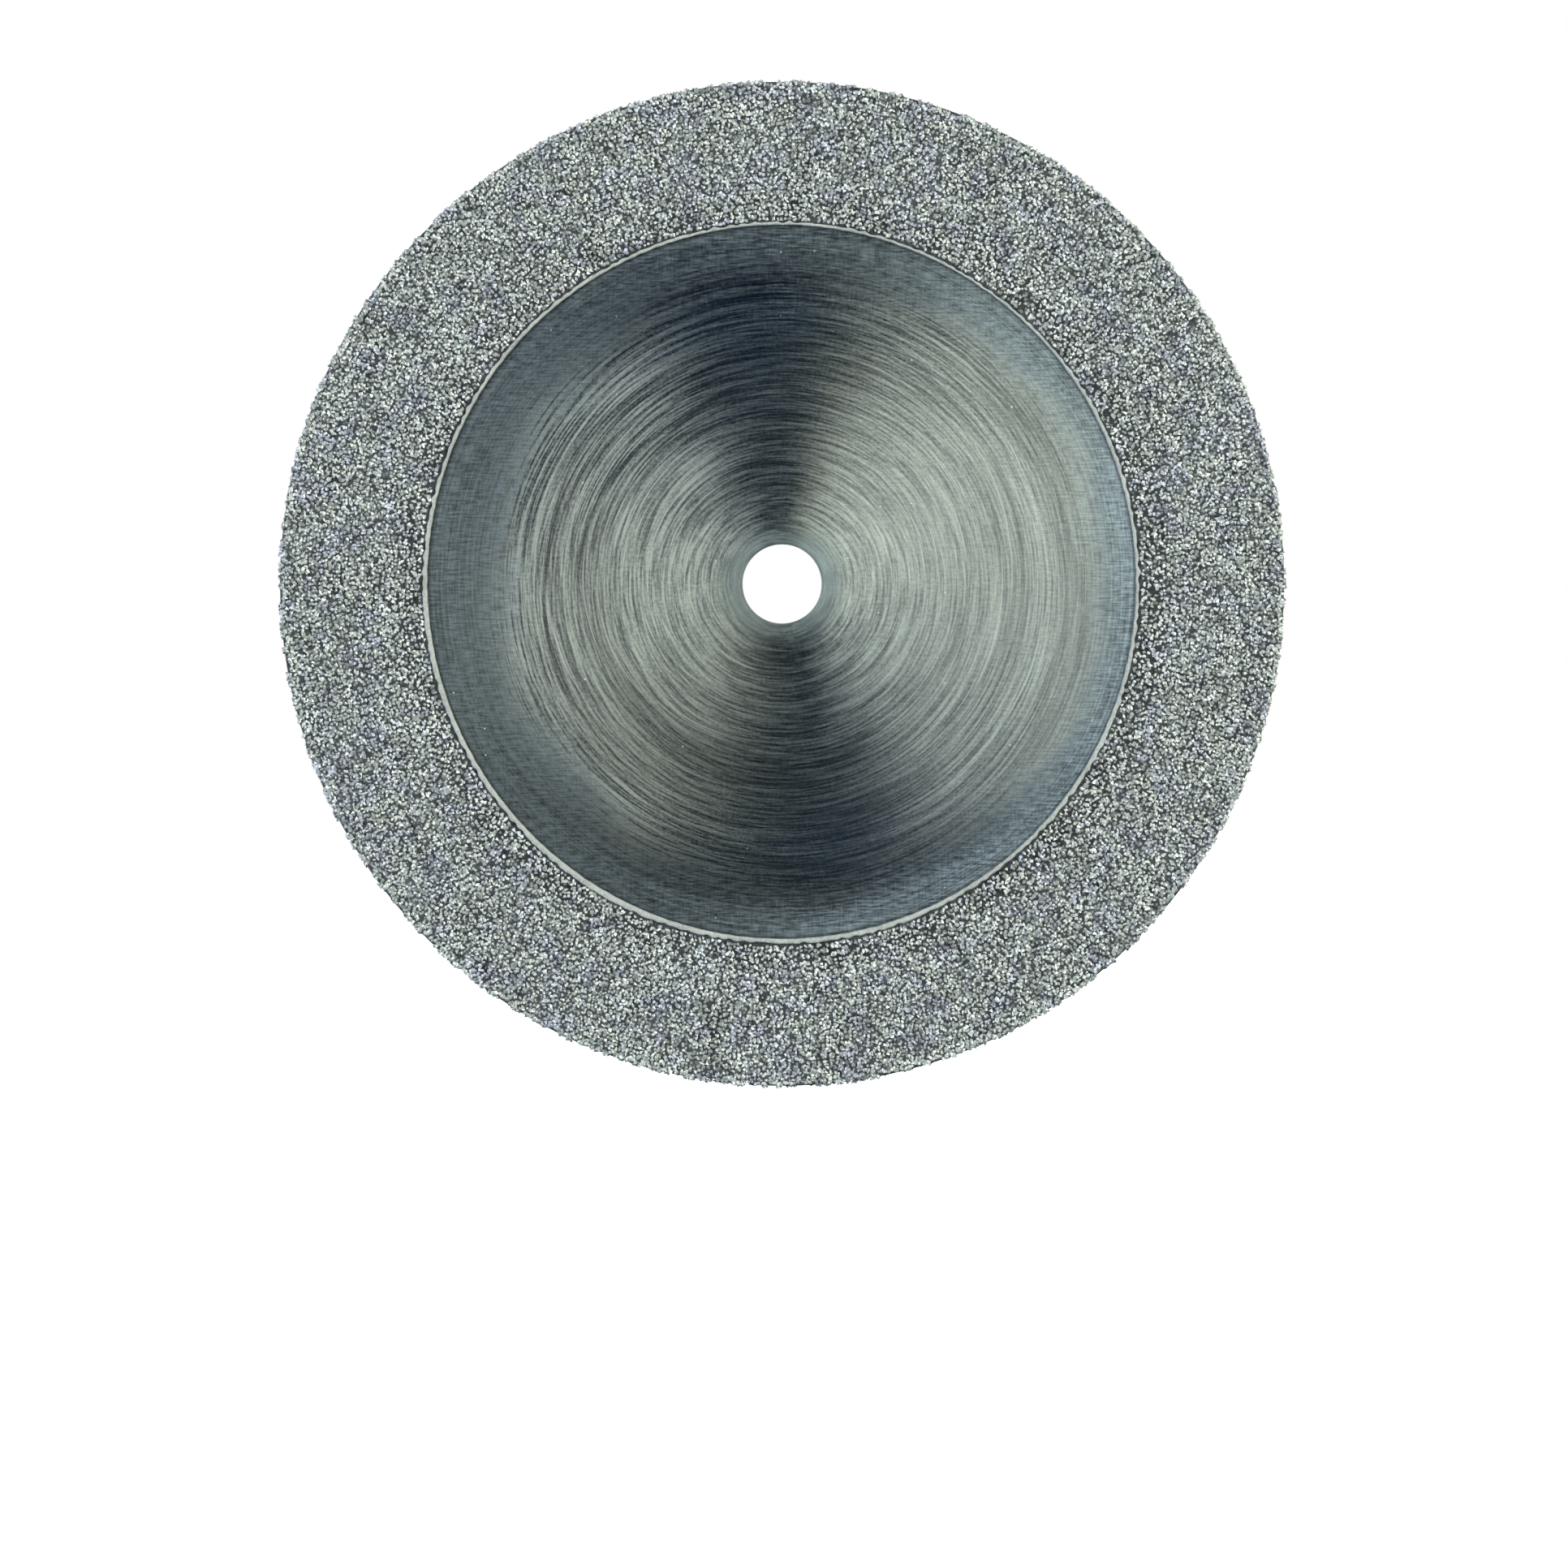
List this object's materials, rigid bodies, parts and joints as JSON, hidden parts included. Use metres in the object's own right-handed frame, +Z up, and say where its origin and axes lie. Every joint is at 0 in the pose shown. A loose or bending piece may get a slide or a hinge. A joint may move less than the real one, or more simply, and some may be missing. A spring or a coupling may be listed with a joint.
{
  "type": "diamond grinding wheel",
  "caption": "Thin round steel disc with a small centre hole, its outer band and rim coated on both faces with one layer of nickel-bonded diamond grit, for grinding and cutting stone.",
  "frame": {"origin": "centre of the bore, halfway through the disc's thickness", "axes": "+Y along the bore, the axis that the disc spins about; the front face looks toward -Y; +Z up, with the disc standing upright in the XZ plane"},
  "size_m": [0.022, 0.0004, 0.022],
  "materials": {
    "steel": "lapped bright sheet steel with fine circular scratches",
    "nickel": "satin electroplated nickel",
    "diamond": "one layer of sharp translucent diamond crystals"
  },
  "bodies": {
    "root": {"steel_core": "steel", "rim_nickel_bond": "nickel", "rim_diamond_grit": "diamond", "front_plating_lip": "nickel", "front_nickel_bond": "nickel", "front_diamond_grit": "diamond", "back_plating_lip": "nickel", "back_nickel_bond": "nickel", "back_diamond_grit": "diamond"}
  },
  "joints": []
}
